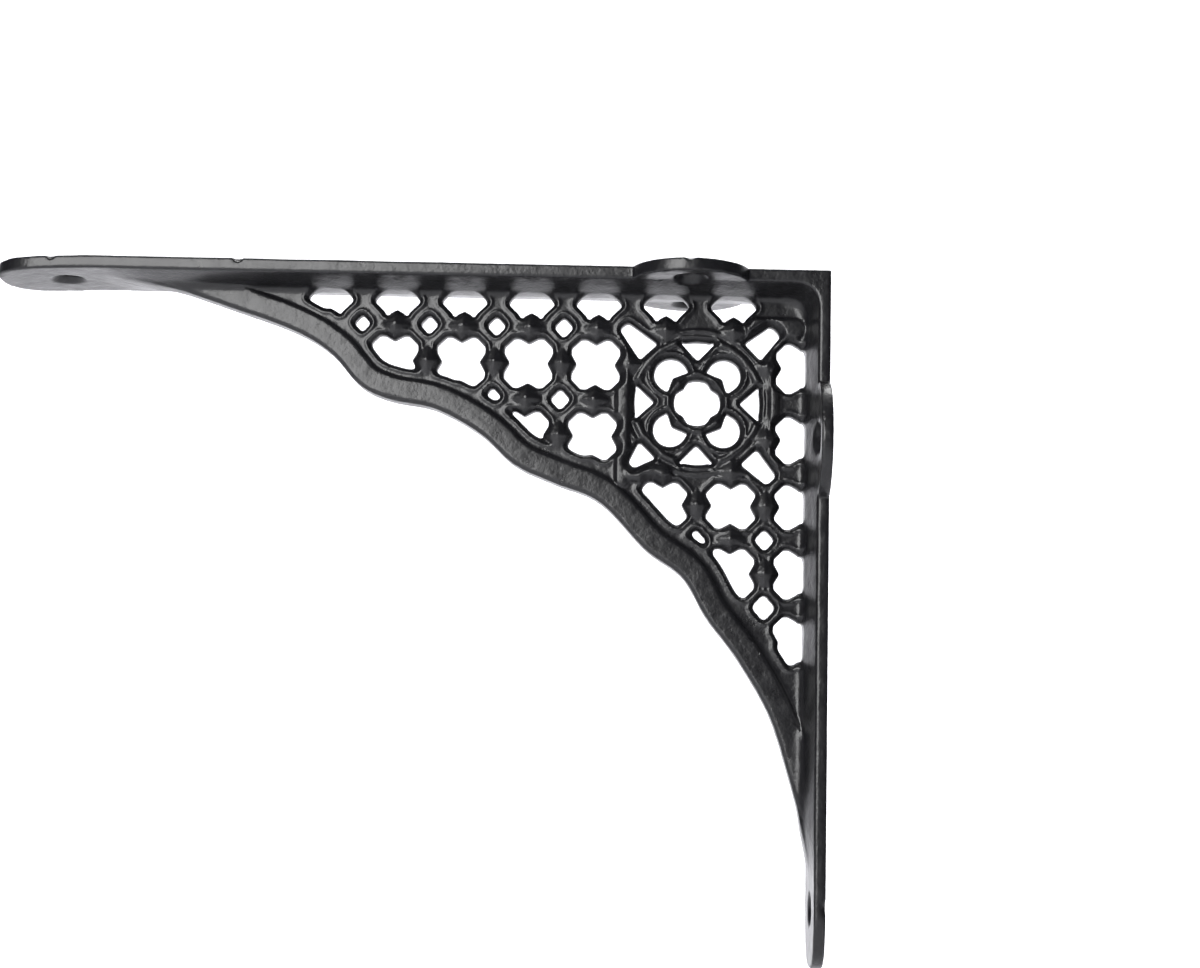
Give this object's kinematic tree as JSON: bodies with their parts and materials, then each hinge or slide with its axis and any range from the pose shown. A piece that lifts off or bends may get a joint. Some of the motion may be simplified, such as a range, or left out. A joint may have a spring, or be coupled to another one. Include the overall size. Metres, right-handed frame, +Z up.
{
  "type": "ornate cast iron shelf bracket",
  "caption": "Right-angled cast iron shelf bracket with a pierced lattice web, a rose in its corner, round ears and countersunk screw holes.",
  "frame": {"origin": "on the wall flange's flat back face, on the bracket's middle plane, level with the two ear holes and 46 mm below the shelf face", "axes": "+X into the wall, +Y across the bracket, +Z up; the shelf flange reaches towards -X"},
  "size_m": [0.2272, 0.0488, 0.184],
  "materials": {
    "black_paint": "gloss black paint over slightly rough cast iron"
  },
  "bodies": {
    "root": {"bracket": "black_paint"}
  },
  "joints": []
}
